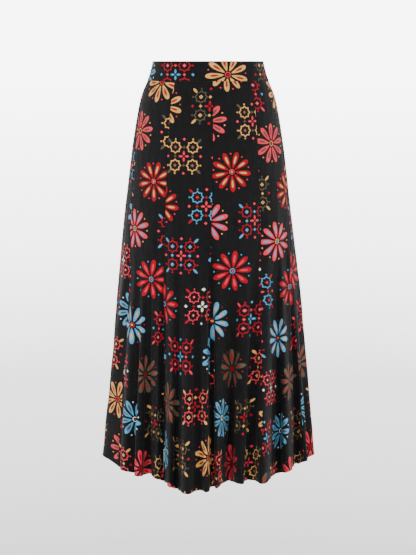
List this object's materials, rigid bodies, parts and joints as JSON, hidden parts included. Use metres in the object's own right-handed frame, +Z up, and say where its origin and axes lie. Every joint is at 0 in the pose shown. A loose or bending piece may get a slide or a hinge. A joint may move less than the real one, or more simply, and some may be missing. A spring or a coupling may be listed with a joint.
{
  "type": "trumpet skirt",
  "caption": "Full-length gored skirt in its hollow worn form, with a shaped waistband, a fluted flared hem, a shorter lining and a centre-back zip.",
  "frame": {"origin": "centre of the waist opening, in the plane of the waistband's top edge", "axes": "+Z up; the front faces -Y; +X is the wearer's left"},
  "size_m": [0.5178, 0.4821, 0.9481],
  "materials": {
    "printed_cloth": "matt black crepe with a small folk-flower print in coral, red, blue, tan and white",
    "waistband_cloth": "the same printed crepe, doubled and pressed flat",
    "lining_cloth": "plain black lining with a soft sheen",
    "zip_tape": "black woven zip tape, closed",
    "zip_metal": "black enamelled slider and pull"
  },
  "bodies": {
    "skirt": {"gore_front_side_right": "printed_cloth", "gore_front_centre_right": "printed_cloth", "gore_front_centre_left": "printed_cloth", "gore_front_side_left": "printed_cloth", "gore_back_side_left": "printed_cloth", "gore_back_centre_left": "printed_cloth", "gore_back_centre_right": "printed_cloth", "gore_back_side_right": "printed_cloth", "waistband_front": "waistband_cloth", "waistband_back_left": "waistband_cloth", "waistband_back_right": "waistband_cloth", "lining_front_right": "lining_cloth", "lining_front_left": "lining_cloth", "lining_back_left": "lining_cloth", "lining_back_right": "lining_cloth", "zip_strip": "zip_tape", "zip_slider": "zip_metal"},
    "pull": {"zip_pull": "zip_metal"}
  },
  "joints": [
    {"name": "pull_swing", "type": "hinge", "parent": "skirt", "child": "pull", "pos_m": [0, 0.10182, -0.00604], "axis": [1, 0, 0], "range_deg": [0, 160]}
  ]
}
